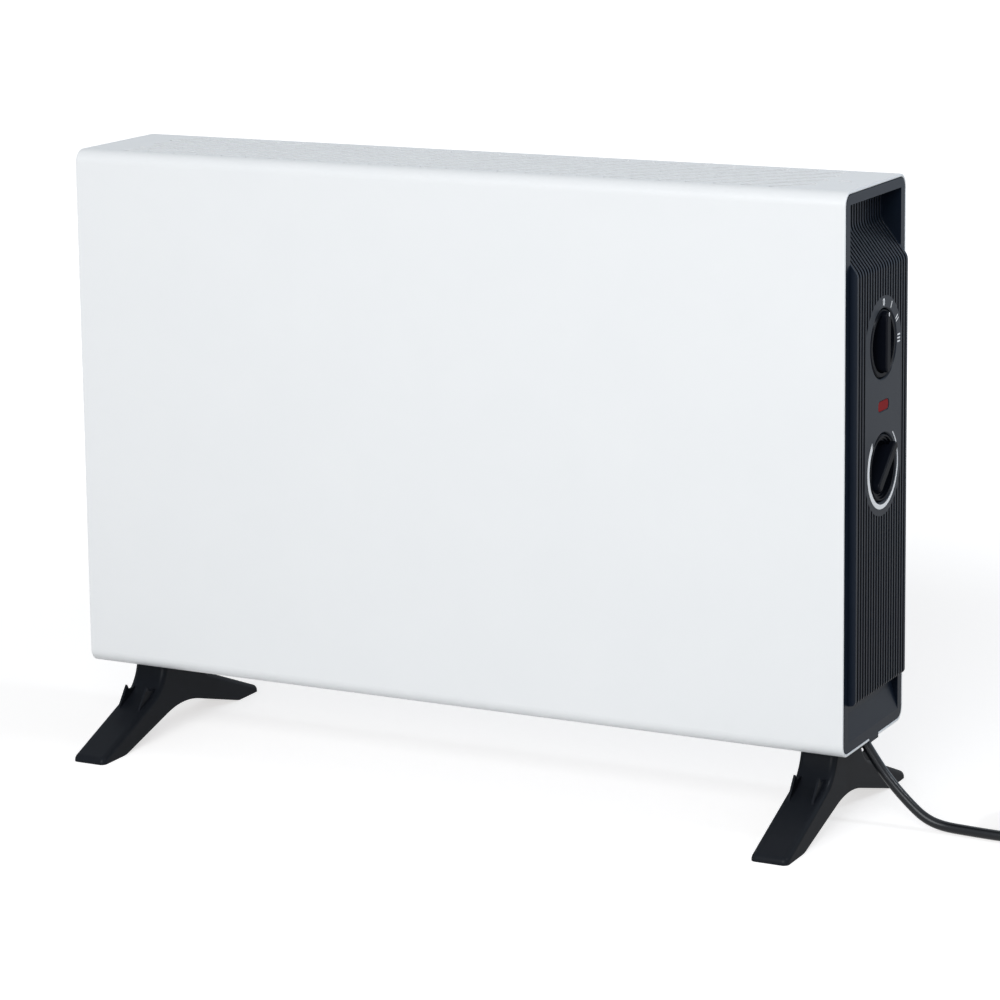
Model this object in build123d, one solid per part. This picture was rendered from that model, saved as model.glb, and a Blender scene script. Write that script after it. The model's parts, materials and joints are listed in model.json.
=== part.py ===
from build123d import *
from math import atan2, pi, radians, sin, tan
import os

# Portable convector heater on two feet, in millimetres.
# X runs along the heater, and its controls are at the +X end.
# The front faces -Y, +Z is up, and the floor is Z = 0.

# Casing
casing_w = 600.0
casing_h = 384.0
casing_d = 112.0
floor_gap = 60.0
sheet_t = 0.8
bend_r = 9.5
hem_t = 2.3
hem_len = 12.0
hem_nose_r = 1.1
lip_h = 22.0
lip_screw_edge = 5.5
seat_gap = 0.1
past = 1.0

# Air outlet in the top
louvre_pitch = 20.2
louvre_w = 5.5
louvre_angle = 46.1
louvre_left = 36.0
louvre_start = 1.0
louvre_right = 34.0
louvre_front = 10.0
louvre_back = 17.0
louvre_shortest = 9.0
rim_t = 0.8
rim_h = 2.0
vent_inset = 21.0
vent_y = -3.0
vent_l = 11.0
vent_w = 4.0
vent_rim_h = 1.3

# Air inlet in the bottom
inlet_inset = 75.0
inlet_pitch = 20.0
inlet_w = 6.0
inlet_len = 76.0

# Rear panel
rear_inset = 11.0
rear_hem_t = 1.5
swage_margin_x = 70.0
swage_margin_z = 52.0
swage_depth = 2.0
swage_r = 16.0

# End caps
cap_depth = 20.0
cap_wall = 2.2
strip_wall = 3.2
panel_half_w = 46.5
bulge_proud = 5.2
recess_depth = 14.0
recess_top_margin = 9.3
shoulder_top_drop = 30.4
shoulder_foot_drop = 55.6
bulge_low = 36.0
bulge_foot_r = 3.4
shoulder_low_r = 9.0
shoulder_high_r = 9.0
scoop_depth = 4.3
scoop_top = 34.5
scoop_floor = 27.0
scoop_low = 9.5
scoop_r = 4.0
rib_pitch = 4.7
rib_count = 20
groove_floor_w = 1.5
groove_neck_w = 1.9
groove_depth = 1.7
rib_break = 0.25
rib_break_angle = 30.0
rib_edge_r = 0.6
hook_proud = 1.2
hook_l = 7.0
hook_w = 14.0
hook_low = 92.0
hook_top_drop = 92.0
hook_gap = 0.3

# Control plate
plate_y = 1.5
plate_top_drop = 76.4
plate_foot_drop = 227.0
plate_r = 32.5
selector_drop = 109.0
thermostat_drop = 194.0
well_gap = 0.7
well_depth = 10.0
well_wall = 1.6
lens_y = 2.5
lens_drop = 151.5
lens_l = 18.5
lens_h = 6.8
lens_corner_r = 2.7
lens_flange = 2.0
lens_flange_t = 1.5
lens_fit = 0.1
lamp_r = 4.4
lamp_fit = 0.2
lens_sink = 0.3
lens_edge_r = 0.4
mouth_edge = 0.8
lens_mouth_edge = 0.6

# Knobs
selector_d = 46.5
thermostat_d = 46.0
knob_skirt = 9.2
knob_wall = 1.8
knob_edge_r = 0.8
dish_depth = 6.0
selector_rim = 3.2
thermostat_rim = 1.8
dish_foot = 1.5
step_width = 1.5
step_drop = 1.2
step_count = 3
grip_l = 39.0
grip_w = 7.4
grip_proud = 4.0
grip_r = 1.2
grip_root = 0.6
hub_r = 6.0
hub_bore = 5.0
shaft_end_gap = 0.2
thermostat_rest_angle = 50.0

# Shafts, bushes and what they turn in
shaft_r = 3.0
shaft_press = 0.01
shaft_running = 0.05
bush_r = 4.8
bush_len = 7.0
shaft_hole_r = 5.6
bush_fit = 0.1
nut_w = 13.0
nut_t = 2.4
switch_w = 30.0
switch_d = 28.0
thermostat_w = 40.0
thermostat_dp = 22.0
body_r = 2.0
tab_w = 6.3
tab_t = 0.8
tab_l = 8.0
switch_tab_pitch = 9.0
thermostat_tab_pitch = 20.0

# Control bracket
bracket_t = 1.2
bracket_inset = 21.0
bracket_low_margin = 7.0
bracket_high_margin = 8.4
bracket_half_w = 46.0
bracket_lip = 10.0
bracket_lip_gap = 5.0
bracket_r = 4.0
post_r = 4.0
post_y = 39.0
post_inset = 8.0
small_screw_r = 1.5
small_head_r = 3.4
small_head_t = 2.2
screw_fit = 0.1
pilot_depth = 7.0

# Baffles, element and heat shield
baffle_inset = 68.0
baffle_t = 0.8
baffle_flange = 10.0
baffle_r = 11.0
baffle_top_gap = 3.6
card_z = 120.0
card_h = 56.0
card_t = 1.0
card_y = 15.0
card_seat = 6.0
card_fit = 0.1
holder_w = 9.0
holder_depth = 16.0
holder_margin = 4.0
wire_hole_r = 5.0
wire_clear = 10.0
wire_pitch = 20.0
wire_w = 2.6
wire_t = 0.5
shield_t = 0.5
shield_y = 44.0
shield_low = 60.0
shield_top_drop = 40.0
shield_flange = 9.0
cutout_r = 9.0
cutout_rim = 2.0
cutout_rim_t = 1.2
cutout_hole_r = 4.0
cutout_tab_l = 6.0
cutout_tab_y = 5.0
cutout_z = 215.0
cutout_y = -18.0
cutout_t = 7.0

# Mains entry
cord_d = 7.2
cord_y = 2.0
exit_inset = 5.4
exit_drop = 5.4
entry_drop_x = 9.2
entry_drop_z = 13.5
boss_half_w = 8.3
boss_y = 1.7
boss_proud = 1.3
boss_back = 16.5
boss_high = 4.6
notch_gap = 0.3
gland_tip_r = 4.3
gland_neck_r = 5.2
gland_flange_r = 6.3
gland_fit = 0.1
gland_taper = 6.0
gland_neck = 6.0
gland_flange = 2.5
gland_tail = 9.5
gland_tail_step = 0.4
bore_reach = 40.0
tail_inset = 60.0
tail_rise = 30.0
tail_bend_z = 62.0
terminal_z = 84.0
terminal_h = 18.0
terminal_w = 44.0
terminal_d = 14.0
terminal_bore_r = 2.6
terminal_bore = 8.0
clamp_z = 73.5
clamp_h = 8.0
clamp_w = 24.0
clamp_t = 2.6
clamp_r = 2.0
clamp_fit = 0.05

# Feet
foot_w = 27.0
foot_inset = 17.5
foot_reach = 110.0
sole_inner = 80.0
column_half = 23.0
neck_top = 1.0
ridge_y = 47.0
ridge_drop = 30.5
toe_h = 4.2
toe_r = 5.0
arch_h = 23.0
arch_r = 80.0
sole_r = 20.0
foot_edge_r = 4.0
gusset_t = 1.6
gusset_offset = 8.75
gusset_inner = 30.0
gusset_notch_y = 41.0
gusset_notch_drop = 22.4
gusset_peak_y = 43.5
gusset_peak_drop = 18.4
gusset_foot_y = 55.0
gusset_root = 5.0
foot_screw_y = 13.0
foot_screw_r = 2.1
foot_head_r = 4.2
foot_head_t = 2.6
foot_bore_r = 4.9
foot_flange = 9.0
clip_w = 14.0
clip_d = 10.0
clip_t = 3.0
foot_screw_end = 1.0

# Screws in the casing, the panel's from its middle outwards
panel_screw_r = 1.6
panel_head_r = 3.6
panel_head_t = 2.0
panel_screw_len = 6.0
panel_screw_insets = (100.0, 233.0)
cap_boss_r = 4.2
cap_pilot = 5.5

# Cord coil, tie and plug
coil_from_end = 128.0
coil_y = 42.0
coil_r = 38.0
coil_lift = 0.9
coil_edge_r = 2.2
cord_arc_share = 0.45
tie_t = 0.7
tie_gap = 0.15
tie_turn = 14.0
tie_angle = 120.0
plug_disc_r = 18.3
plug_disc_t = 14.0
plug_grip_r = 11.5
plug_grip_l = 24.0
plug_relief_l = 24.0
plug_relief_r = 6.0
plug_relief_wall = 0.6
plug_flare = 0.8
plug_flare_l = 6.0
plug_waist = 0.5
plug_waist_l = 8.0
plug_groove_w = 5.0
plug_groove_h = 4.0
plug_groove_sink = 2.0
pin_r = 2.4
pin_l = 19.0
pin_spacing = 19.0
pin_root = 6.0
pin_tip_r = 1.6

# Values worked out from the sizes above
knob_reach = bulge_proud + grip_proud
casing_x = -(knob_reach - bulge_proud) / 2
end_x = casing_w / 2
half_d = casing_d / 2
top_z = floor_gap + casing_h
mid_z = floor_gap + casing_h / 2
cap_inset = hem_t + seat_gap
bulge_x = end_x + bulge_proud
recess_x = end_x - recess_depth
recess_top = casing_h - recess_top_margin
scoop_x = end_x - scoop_depth
cap_back = end_x - cap_depth
well_floor = bulge_x - well_depth
knob_back = bulge_x - knob_skirt
rear_face = half_d - sheet_t
rear_inner = rear_face - sheet_t
foot_outer_x = end_x - foot_inset
foot_mid_x = foot_outer_x - foot_w / 2
ridge_fall = (floor_gap - ridge_drop - toe_h) / (foot_reach - ridge_y)
shoulder_high = casing_h - shoulder_top_drop
shoulder_low = casing_h - shoulder_foot_drop
plate_high = casing_h - plate_top_drop
plate_low = casing_h - plate_foot_drop
selector_z = casing_h - selector_drop
thermostat_z = casing_h - thermostat_drop
lens_z = casing_h - lens_drop
lens_back = bulge_x - strip_wall
bracket_x = end_x - bracket_inset
bracket_front = bracket_x + bracket_t
bracket_low = plate_low - bracket_low_margin
bracket_high = plate_high + bracket_high_margin
baffle_x = end_x - baffle_inset
inlet_count = int(2 * (end_x - inlet_inset) / inlet_pitch)
wire_count = int(2 * (baffle_x - holder_depth - wire_clear) / wire_pitch)
shield_high = casing_h - shield_top_drop
exit_x = end_x - exit_inset
exit_z = floor_gap - exit_drop
tail_x = end_x - tail_inset
coil_x = end_x + coil_from_end
hem_screw_x = end_x - hem_len / 2
entry_len = (entry_drop_x**2 + entry_drop_z**2) ** 0.5
entry_dir = Vector(entry_drop_x / entry_len, 0, -entry_drop_z / entry_len)
cord_exit = Vector(exit_x, cord_y, exit_z)

# Route of the cord from the gland to the coil, then from the coil to the plug
cord_route = [
    (exit_x, cord_y, exit_z),
    (end_x + 3.8, 2.0, 41.1),
    (end_x + 13.2, 2.0, 29.9),
    (end_x + 25.0, 2.0, 18.2),
    (end_x + 36.8, 2.0, 8.4),
    (end_x + 49.5, 2.0, 4.2),
    (end_x + 68.0, 0.9, 3.9),
    (end_x + 89.0, -0.8, 4.0),
    (end_x + 111.0, -1.4, 4.3),
    (end_x + 133.8, 0.8, 4.5),
]
plug_route = [
    (end_x + 169.6, 42.0, 18.9),
    (end_x + 169.2, 58.0, 18.9),
    (end_x + 166.6, 74.5, 18.6),
    (end_x + 162.4, 90.0, 18.6),
]


def up(height):
    """Height above the casing's underside, as a height above the floor."""
    return floor_gap + height


def export(shape, name):
    """Write one piece or a group, moved so that the whole heater is centred on X = 0."""
    pieces = shape if isinstance(shape, list) else [shape]
    solids = [Pos(casing_x, 0, 0) * solid for piece in pieces for solid in piece.solids()]
    export_step(solids[0] if len(solids) == 1 else Compound(solids), f"parts/{name}.step")


def along_x(face, x0, x1):
    """Extrude a face drawn in Y and Z from x0 to x1."""
    return extrude(Pos(x0, 0, 0) * (Plane.YZ * face), x1 - x0)


def across_y(face, y0, y1):
    """Extrude a face drawn in X and Z from y0 to y1."""
    return extrude(Pos(0, y1, 0) * (Plane.XZ * face), y1 - y0)


def block(x0, x1, y0, y1, z0, z1):
    """A box between two corners."""
    return Pos((x0 + x1) / 2, (y0 + y1) / 2, (z0 + z1) / 2) * Box(x1 - x0, y1 - y0, z1 - z0)


def rod(centre, radius, x0, x1):
    """A round bar along X, from x0 to x1, at a (y, z) centre."""
    return along_x(Pos(*centre) * Circle(radius), x0, x1)


def rod_y(x, z, radius, y0, y1):
    """A round bar along Y."""
    return across_y(Pos(x, z) * Circle(radius), y0, y1)


def rod_z(x, y, radius, z0, z1):
    """A round bar along Z."""
    return extrude(Pos(x, y, z0) * Circle(radius), z1 - z0)


def contour(inset):
    """The casing's end contour in Y and Z, drawn in by an inset."""
    corner = bend_r - inset
    outline = RectangleRounded(casing_d - 2 * inset, casing_h - 2 * inset, corner)
    return Pos(0, mid_z) * outline


def turned(points, centre, x0):
    """Revolve (radius, x) points about an X axis through a (y, z) centre."""
    face = make_face(Polyline([(x0 + x, r) for r, x in points], close=True))
    solid = revolve(Plane.XZ * face, Axis.X)
    return Pos(0, centre[0], centre[1]) * solid


def mirrored(shape):
    """The same piece at the plain end."""
    return mirror(shape, about=Plane.YZ)


# Casing wrap: front, top, bottom and the two rear lips from one sheet
def louvre_lines():
    """Start, length and middle of each slot, clipped to the outlet field."""
    rise = tan(radians(louvre_angle))
    y0 = -half_d + louvre_front
    y1 = half_d - louvre_back
    x0 = -end_x + louvre_left
    x1 = end_x - louvre_right
    lines = []
    steps_left = int((y1 - y0) / rise / louvre_pitch)
    steps = steps_left + int((x1 - x0) / louvre_pitch) + 1
    for i in range(steps):
        foot = x0 + louvre_start + (i - steps_left) * louvre_pitch
        start_y = max(y0, y0 + (x0 - foot) * rise)
        end_y = min(y1, y0 + (x1 - foot) * rise)
        length = (end_y - start_y) / sin(radians(louvre_angle)) - louvre_w
        if length > louvre_shortest:
            middle_y = (start_y + end_y) / 2
            middle_x = foot + (middle_y - y0) / rise
            lines.append((middle_x, middle_y, length))
    return lines


def slot_at(x, y, length, width, z0, z1, angle):
    """A round-ended slot solid lying in the sheet."""
    outline = Rot(0, 0, angle) * SlotCenterToCenter(length, width)
    return extrude(Pos(x, y, z0) * outline, z1 - z0)


def pressed_slot(x, y, length, width, depth, angle):
    """A slot in the casing's top and the rim pressed down round it."""
    sheet_low = top_z - sheet_t
    rim = slot_at(x, y, length, width + 2 * rim_t, sheet_low - depth, sheet_low, angle)
    return rim, slot_at(x, y, length, width, sheet_low - depth - past, top_z + past, angle)


def front_casing():
    wrap = along_x(contour(0), -end_x, end_x)
    wrap -= along_x(contour(sheet_t), -end_x + hem_len, end_x - hem_len)
    wrap -= along_x(contour(hem_t), -end_x, end_x)
    noses = wrap.edges().filter_by(lambda e: abs(abs(e.center().X) - end_x) < 0.01)
    wrap = fillet(noses, hem_nose_r)
    opening_low = up(lip_h)
    opening_high = top_z - lip_h
    wrap -= block(
        -end_x - past, end_x + past, half_d - 2 * hem_t, half_d + past, opening_low, opening_high
    )
    end_low = up(bend_r)
    end_high = top_z - bend_r
    for side in (-1, 1):
        x0 = min(side * (end_x - hem_len), side * (end_x + past))
        wrap -= block(
            x0, x0 + hem_len + past, half_d - 2 * hem_t, rear_face, end_low + past, end_high - past
        )
    pressed = [
        pressed_slot(x, y, length, louvre_w, rim_h, louvre_angle) for x, y, length in louvre_lines()
    ]
    pressed.append(pressed_slot(end_x - vent_inset, vent_y, vent_l - vent_w, vent_w, vent_rim_h, 0))
    wrap += [rim for rim, _ in pressed]
    wrap -= [slot for _, slot in pressed]
    inlets = []
    for i in range(inlet_count):
        x = (i - (inlet_count - 1) / 2) * inlet_pitch
        inlets.append(
            slot_at(x, 0, inlet_len - inlet_w, inlet_w, floor_gap - past, up(sheet_t + past), 90)
        )
    wrap -= inlets
    notch_half = boss_half_w + notch_gap
    wrap -= block(
        end_x - boss_back - notch_gap, end_x + past,
        boss_y - notch_half, boss_y + notch_half,
        floor_gap - past, up(hem_t + past),
    )
    wrap -= casing_screw_holes(panel_screw_r + screw_fit)
    wrap -= foot_screw_holes()
    return wrap


def casing_screw_places():
    """The (x, z) of every screw through the rear lips, panel and end caps apart."""
    low = up(lip_h - lip_screw_edge)
    high = top_z - lip_h + lip_screw_edge
    panel = [
        (side * (end_x - inset), z)
        for z in (low, high) for inset in panel_screw_insets for side in (-1, 1)
    ]
    caps = [(side * hem_screw_x, z) for z in (low, high) for side in (-1, 1)]
    return panel, caps


def casing_screw_holes(radius):
    panel, caps = casing_screw_places()
    return [rod_y(x, z, radius, rear_face - past, half_d + past) for x, z in panel + caps]


def foot_screw_holes():
    return [
        rod_z(side * foot_mid_x, y, foot_screw_r + screw_fit, floor_gap - past, up(sheet_t + past))
        for side in (-1, 1)
        for y in (-foot_screw_y, foot_screw_y)
    ]


# Rear panel: a flat sheet lapped behind the lips, with a pressed field and hemmed ends
def rear_panel():
    low = up(rear_inset)
    high = top_z - rear_inset
    sheet = block(-end_x, end_x, rear_inner, rear_face, low, high)
    for side in (-1, 1):
        x0 = min(side * end_x, side * (end_x - hem_len))
        sheet += block(x0, x0 + hem_len, rear_face - rear_hem_t, rear_face, low, high)
    field_w = casing_w - 2 * swage_margin_x
    field_h = casing_h - 2 * swage_margin_z
    field = Pos(0, mid_z) * RectangleRounded(field_w, field_h, swage_r)
    core_w = field_w - 2 * swage_depth
    core_h = field_h - 2 * swage_depth
    core = Pos(0, mid_z) * RectangleRounded(core_w, core_h, swage_r - swage_depth)
    sheet += across_y(field, rear_inner - swage_depth, rear_inner)
    sheet -= across_y(core, rear_face - swage_depth, rear_face + past)
    panel, caps = casing_screw_places()
    hole_y = rear_face - rear_hem_t - past
    holes = [rod_y(x, z, panel_screw_r + screw_fit, hole_y, half_d) for x, z in panel + caps]
    return sheet - holes


# End caps
def air_outline(inset):
    """The open space in front of a cap's middle strip, grown into the cap by an inset."""
    lean = inset * tan(shoulder_turn() / 2)
    points = [
        (recess_x - inset, up(recess_top) + inset),
        (recess_x - inset, up(shoulder_high) - lean),
        (bulge_x - inset, up(shoulder_low) - lean),
        (bulge_x - inset, up(bulge_low) + inset),
        (scoop_x - inset, up(scoop_top) + inset),
        (scoop_x - inset, up(scoop_floor)),
        (end_x - inset, up(scoop_low)),
        (end_x - inset, up(scoop_low) - inset),
        (end_x + 3 * bulge_proud, up(scoop_low) - inset),
        (end_x + 3 * bulge_proud, up(recess_top) + inset),
    ]
    radii = {
        1: shoulder_high_r + inset,
        2: shoulder_low_r - inset,
        3: max(bulge_foot_r - inset, rib_edge_r),
        5: scoop_r,
    }
    if inset == 0:
        points.pop(7)
    face = make_face(Polyline(points, close=True))
    for index, radius in radii.items():
        x, z = points[index]
        corner = face.vertices().sort_by_distance((x, z))[0]
        face = fillet(corner, radius)
    return face


def shoulder_turn():
    """The angle between the upright face and the sloped shoulder."""
    return atan2(bulge_x - recess_x, shoulder_high - shoulder_low)


def plain_cap_body():
    """The moulding that both ends share, drawn at the +X end."""
    body = along_x(contour(cap_inset), cap_back, end_x)
    body += block(
        cap_back, bulge_x, -panel_half_w, panel_half_w, up(scoop_floor), up(shoulder_high)
    )
    body -= across_y(air_outline(0), -panel_half_w, panel_half_w)
    inner_half = panel_half_w + cap_wall
    cavity = along_x(contour(cap_inset + cap_wall), cap_back - past, end_x - cap_wall)
    cavity += block(
        cap_back - past, bulge_x - strip_wall,
        -panel_half_w + cap_wall, panel_half_w - cap_wall,
        up(scoop_floor), up(shoulder_high),
    )
    cavity -= across_y(air_outline(strip_wall), -inner_half, inner_half)
    body -= cavity
    body += [cap_boss(z) for z in cap_rear_screws()]
    body += [cap_hook(z) for z in (up(hook_low), top_z - hook_top_drop)]
    return body


def cap_rear_screws():
    panel, caps = casing_screw_places()
    return sorted({z for _, z in caps})


def cap_boss(z):
    """A boss behind the rear rim, which a screw from the back bites into."""
    return rod_y(hem_screw_x, z, cap_boss_r, panel_half_w + seat_gap, half_d - cap_inset)


def cap_hook(z):
    """A wedge on the front wall that snaps in behind the casing's hem."""
    x = end_x - hem_len - hook_gap
    y = -half_d + cap_inset
    points = [(x - hook_l, y), (x, y - hook_proud), (x, y + cap_wall / 2), (x - hook_l, y + cap_wall / 2)]
    wedge = make_face(Polyline(points, close=True))
    return extrude(Pos(0, 0, z - hook_w / 2) * wedge, hook_w)


def groove_section():
    """Section of a groove: a flat floor, steep sides and broken edges at the ribs' crests."""
    rise = 2 * rib_break
    spread = (rib_break + rise) / tan(radians(rib_break_angle))
    half = [
        (groove_floor_w / 2, -groove_depth),
        (groove_neck_w / 2, -rib_break),
        (groove_neck_w / 2 + spread, rise),
    ]
    points = half + [(-x, y) for x, y in reversed(half)]
    face = make_face(Polyline(points, close=True))
    for side in (-1, 1):
        neck = face.vertices().sort_by_distance((side * groove_neck_w / 2, -rib_break))[0]
        face = fillet(neck, rib_edge_r)
    return face


def rib_groove():
    """One groove, swept down the S of the recess, the shoulder and the bulge."""
    path = FilletPolyline(
        (recess_x, 0, up(recess_top)),
        (recess_x, 0, up(shoulder_high)),
        (bulge_x, 0, up(shoulder_low)),
        (bulge_x, 0, up(bulge_low) - past),
        radius=[shoulder_high_r, shoulder_low_r],
    )
    start = Plane(origin=path @ 0, x_dir=(0, 1, 0), z_dir=(0, 0, -1))
    return sweep(start * groove_section(), path=path)


def rib_grooves():
    groove = rib_groove()
    places = [(i - (rib_count - 2) / 2) * rib_pitch for i in range(rib_count - 1)]
    return [Pos(0, y, 0) * groove for y in places]


def control_plate():
    """The smooth stadium round the knobs."""
    outline = Rot(0, 0, 90) * SlotOverall(plate_high - plate_low, 2 * plate_r)
    return Pos(plate_y, up((plate_high + plate_low) / 2)) * outline


def knob_centres():
    return (
        (plate_y, up(selector_z), selector_d / 2 + well_gap),
        (plate_y, up(thermostat_z), thermostat_d / 2 + well_gap),
    )


def bracket_posts():
    return [
        (y, z)
        for y in (plate_y - post_y, plate_y + post_y)
        for z in (up(bracket_low + post_inset), up(bracket_high - post_inset))
    ]


def entry_plane(distance):
    """A plane across the cord's entry, a distance back inside from the exit."""
    origin = cord_exit - entry_dir * distance
    return Plane(origin=origin, x_dir=Vector(0, 1, 0), z_dir=entry_dir)


def entry_bar(radius, start, end):
    """A round bar on the entry's axis, between two distances inside the exit."""
    return extrude(entry_plane(end) * Circle(radius), end - start)


def mouth_profile(radius):
    """Half section of the cut that breaks the edge of a knob's well."""
    wide = radius + mouth_edge
    return [(0, -mouth_edge), (radius, -mouth_edge), (wide, 0), (wide, past), (0, past)]


def plain_end_cap():
    body = plain_cap_body() - rib_grooves()
    body -= cap_pilot_holes()
    return mirrored(body)


def cap_pilot_holes():
    radius = panel_screw_r + screw_fit / 2
    outer = half_d - cap_inset
    return [rod_y(hem_screw_x, z, radius, outer - cap_pilot, outer + past) for z in cap_rear_screws()]


def control_end_cap():
    body = plain_cap_body()
    smooth = along_x(control_plate(), recess_x, bulge_x + bulge_proud)
    body -= [groove - smooth for groove in rib_grooves()]
    for y, z, radius in knob_centres():
        body += rod((y, z), radius + well_wall, well_floor - well_wall, bulge_x - strip_wall)
    for y, z, radius in knob_centres():
        body -= rod((y, z), radius, well_floor, bulge_x + past)
        body -= turned(mouth_profile(radius), (y, z), bulge_x)
        body -= rod((y, z), shaft_hole_r, well_floor - 2 * well_wall, well_floor + past)
    body -= lens_shape(lens_fit, lens_back - past, bulge_x + past)
    mouth = Plane.YZ * lens_outline(lens_fit)
    body -= extrude(Pos(bulge_x - lens_mouth_edge, 0, 0) * mouth, past, taper=-45)
    body += [rod(place, post_r, bracket_front, lens_back + strip_wall / 2) for place in bracket_posts()]
    body -= [
        rod(place, small_screw_r + screw_fit / 2, bracket_front - past, bracket_front + pilot_depth)
        for place in bracket_posts()
    ]
    body += block(
        end_x - boss_back, end_x,
        boss_y - boss_half_w, boss_y + boss_half_w,
        floor_gap - boss_proud, up(boss_high),
    )
    body -= entry_bar(gland_neck_r + gland_fit, -boss_high, bore_reach)
    body -= entry_bar(gland_flange_r + 2 * gland_fit, gland_taper + gland_neck, bore_reach)
    body -= cap_pilot_holes()
    return body


# Knobs: a skirt with a dished face, a hub on the shaft and a grip bar
def knob(centre, diameter, dish_points, angle):
    radius = diameter / 2
    face_x = bulge_x - knob_back
    floor_x = face_x - dish_depth
    profile = [(0, 0), (0, floor_x)]
    profile += dish_points
    profile += [
        (radius - knob_edge_r, face_x),
        (radius, face_x - knob_edge_r),
        (radius, 0),
        (radius - knob_wall, 0),
        (radius - knob_wall, floor_x - knob_wall),
        (hub_r, floor_x - knob_wall),
        (hub_r, 0),
    ]
    body = turned(profile, centre, knob_back) + grip_bar(centre, angle)
    return body - rod(centre, shaft_r + shaft_press, knob_back - past, knob_back + hub_bore)


def grip_bar(centre, angle):
    """The raised bar across the dish, with rounded ends."""
    bar = Rot(0, 0, 90) * SlotOverall(grip_l, grip_w)
    solid = along_x(bar, bulge_x - dish_depth - grip_root, bulge_x + grip_proud)
    rim = solid.edges().filter_by(lambda e: abs(e.center().X - bulge_x - grip_proud) < 0.01)
    solid = fillet(rim, grip_r)
    return Pos(0, centre[0], centre[1]) * (Rot(-angle, 0, 0) * solid)


def selector_knob():
    rim = selector_d / 2 - selector_rim
    face_x = bulge_x - knob_back
    dish = [(rim - dish_foot, face_x - dish_depth), (rim, face_x)]
    return knob((plate_y, up(selector_z)), selector_d, dish, 0)


def thermostat_knob():
    rim = thermostat_d / 2 - thermostat_rim
    face_x = bulge_x - knob_back
    steps = []
    for i in range(step_count):
        radius = rim - i * step_width
        level = face_x - i * step_drop
        steps += [(radius, level), (radius, level - step_drop)]
    steps.append((rim - step_count * step_width, face_x - dish_depth))
    steps.reverse()
    return knob((plate_y, up(thermostat_z)), thermostat_d, steps, thermostat_rest_angle)


def control_shaft(z):
    """A steel shaft, from inside its switch to the blind bore of its knob."""
    end = knob_back + hub_bore - shaft_end_gap
    return rod((plate_y, up(z)), shaft_r, bracket_x - bush_len, end)


def bushed_body(z, width, height, depth):
    """A switch or thermostat body with the threaded bush that its shaft turns in."""
    body = Pos(bracket_x - depth / 2, plate_y, up(z)) * Box(depth, width, height)
    body = fillet(body.edges().filter_by(Axis.X), body_r)
    body += rod((plate_y, up(z)), bush_r, bracket_x, bracket_front + bush_len)
    bore = shaft_r + shaft_running
    body -= rod((plate_y, up(z)), bore, bracket_x - bush_len, bracket_front + bush_len + past)
    return body


def tabs(z, depth, count, pitch):
    """Flat tab terminals at the back of a body."""
    back = bracket_x - depth
    return [
        block(back - tab_l, back, y - tab_w / 2, y + tab_w / 2, z - tab_t / 2, z + tab_t / 2)
        for y in [plate_y + (i - (count - 1) / 2) * pitch for i in range(count)]
    ]


def selector_switch():
    body = bushed_body(selector_z, switch_w, switch_w, switch_d)
    return body + tabs(up(selector_z), switch_d, 3, switch_tab_pitch)


def thermostat_body():
    body = bushed_body(thermostat_z, thermostat_w, switch_w, thermostat_dp)
    return body + tabs(up(thermostat_z), thermostat_dp, 2, thermostat_tab_pitch)


def bush_nuts():
    nuts = []
    for z in (up(selector_z), up(thermostat_z)):
        flats = Pos(plate_y, z) * RegularPolygon(nut_w / 2, 6, major_radius=False)
        nut = along_x(flats, bracket_front, bracket_front + nut_t)
        bore = rod((plate_y, z), bush_r + bush_fit, bracket_front - past, bracket_front + nut_t + past)
        nuts.append(nut - bore)
    return nuts


def control_bracket():
    width = 2 * bracket_half_w
    height = bracket_high - bracket_low
    middle = up((bracket_high + bracket_low) / 2)
    outline = Pos(0, middle) * RectangleRounded(width, height, bracket_r)
    plate = along_x(outline, bracket_x, bracket_front)
    lip_half_w = bracket_half_w - bracket_lip_gap
    for z0 in (up(bracket_low), up(bracket_high) - bracket_t):
        plate += block(
            bracket_x - bracket_lip, bracket_x + bracket_t / 2,
            -lip_half_w, lip_half_w, z0, z0 + bracket_t,
        )
    for z in (up(selector_z), up(thermostat_z)):
        plate -= rod((plate_y, z), bush_r + bush_fit, bracket_x - past, bracket_front + past)
    plate -= rod((lens_y, up(lens_z)), lamp_r + lamp_fit, bracket_x - past, bracket_front + past)
    plate -= [
        rod(place, small_screw_r + screw_fit, bracket_x - past, bracket_front + past)
        for place in bracket_posts()
    ]
    return plate


def bracket_screws():
    screws = []
    for place in bracket_posts():
        shank = rod(place, small_screw_r, bracket_x, bracket_front + pilot_depth - past)
        head = rod(place, small_head_r, bracket_x - small_head_t, bracket_x)
        screws.append(shank + head)
    return screws


def lens_outline(grow):
    outline = RectangleRounded(lens_l + 2 * grow, lens_h + 2 * grow, lens_corner_r + grow)
    return Pos(lens_y, up(lens_z)) * outline


def lens_shape(grow, x0, x1):
    """The lens's rounded block between two places, grown all round."""
    return along_x(lens_outline(grow), x0, x1)


def indicator_lens():
    face_x = bulge_x - lens_sink
    lens = lens_shape(0, lens_back, face_x)
    rim = lens.edges().filter_by(lambda e: abs(e.center().X - face_x) < 0.01)
    lens = fillet(rim, lens_edge_r)
    return lens + lens_shape(lens_flange, lens_back - lens_flange_t, lens_back)


def indicator_lamp():
    """The small neon lamp behind the lens, with its sleeve in the bracket."""
    return rod((lens_y, up(lens_z)), lamp_r, bracket_x - bracket_lip, lens_back - lens_flange_t)


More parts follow.
